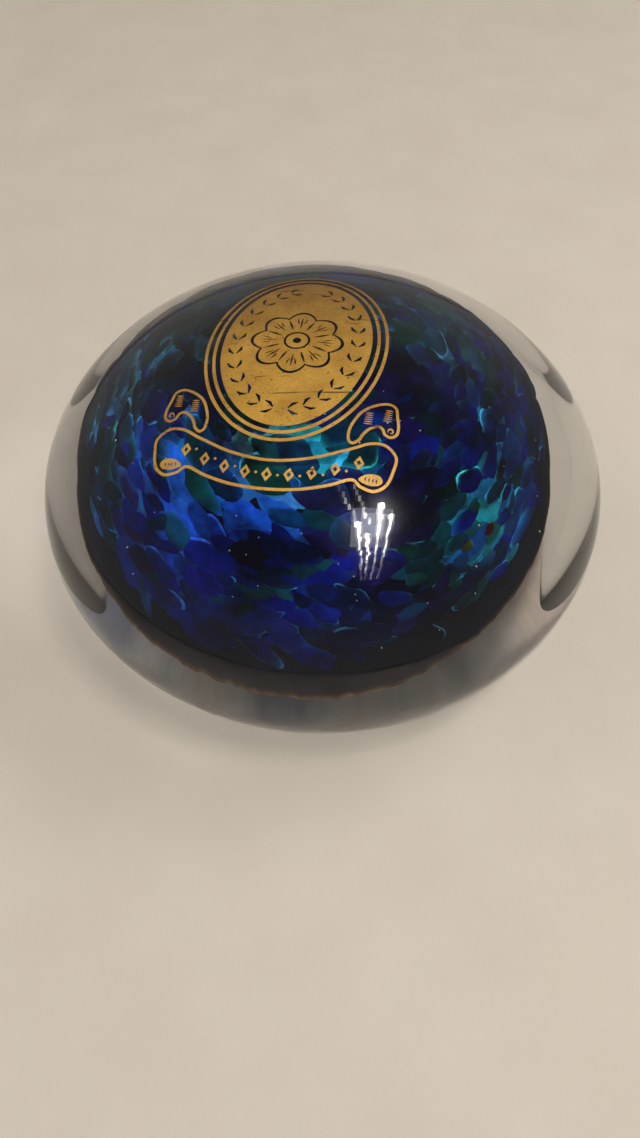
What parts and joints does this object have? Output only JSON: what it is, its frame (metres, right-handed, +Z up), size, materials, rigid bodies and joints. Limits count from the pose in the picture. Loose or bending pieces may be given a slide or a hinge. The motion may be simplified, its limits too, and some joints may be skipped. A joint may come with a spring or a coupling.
{
  "type": "paperweight",
  "caption": "Flattened clear glass dome paperweight over a ragged dark cup of mottled blue and teal glass, with a gilt oval medallion and ribbon on top.",
  "frame": {"origin": "middle of the flat foot, on the surface the weight stands on", "axes": "+Z up along the turning axis; -Y faces the reader of the transfer"},
  "size_m": [0.08, 0.08, 0.0395],
  "materials": {
    "clear_glass": "polished clear glass",
    "dark_glass": "opaque near-black navy glass",
    "cobalt_glass": "opaque cobalt blue glass chips",
    "navy_glass": "opaque navy glass chips",
    "teal_glass": "opaque teal glass chips",
    "turquoise_glass": "opaque turquoise glass chips",
    "violet_glass": "opaque violet glass chips",
    "gilt": "satin gilt film, a little worn"
  },
  "bodies": {
    "root": {"clear_casing": "clear_glass", "cobalt_chip_12": "cobalt_glass", "cobalt_chip_13": "cobalt_glass", "cobalt_chip_14": "cobalt_glass", "cobalt_chip_16": "cobalt_glass", "cobalt_chip_20": "cobalt_glass", "cobalt_chip_21": "cobalt_glass", "cobalt_chip_22": "cobalt_glass", "cobalt_chip_27": "cobalt_glass", "core_gather": "clear_glass", "dark_ground": "dark_glass", "inner_ring": "gilt", "left_ribbon_curl": "gilt", "left_ribbon_tail": "gilt", "medallion_field": "gilt", "navy_chip_02": "navy_glass", "navy_chip_05": "navy_glass", "navy_chip_17": "navy_glass", "navy_chip_24": "navy_glass", "navy_chip_25": "navy_glass", "outer_ring": "gilt", "ribbon_lozenge_1": "gilt", "ribbon_lozenge_2": "gilt", "ribbon_lozenge_3": "gilt", "ribbon_lozenge_4": "gilt", "ribbon_lozenge_5": "gilt", "ribbon_lozenge_6": "gilt", "ribbon_lozenge_7": "gilt", "ribbon_lozenge_8": "gilt", "ribbon_lozenge_9": "gilt", "ribbon_outline": "gilt", "right_ribbon_curl": "gilt", "right_ribbon_tail": "gilt", "rosette": "gilt", "teal_chip_04": "teal_glass", "teal_chip_07": "teal_glass", "teal_chip_10": "teal_glass", "teal_chip_15": "teal_glass", "teal_chip_18": "teal_glass", "teal_chip_19": "teal_glass", "teal_chip_26": "teal_glass", "teal_chip_28": "teal_glass", "turquoise_chip_03": "turquoise_glass", "turquoise_chip_08": "turquoise_glass", "turquoise_chip_09": "turquoise_glass", "violet_chip_01": "violet_glass", "violet_chip_06": "violet_glass", "violet_chip_11": "violet_glass", "violet_chip_23": "violet_glass"}
  },
  "joints": []
}
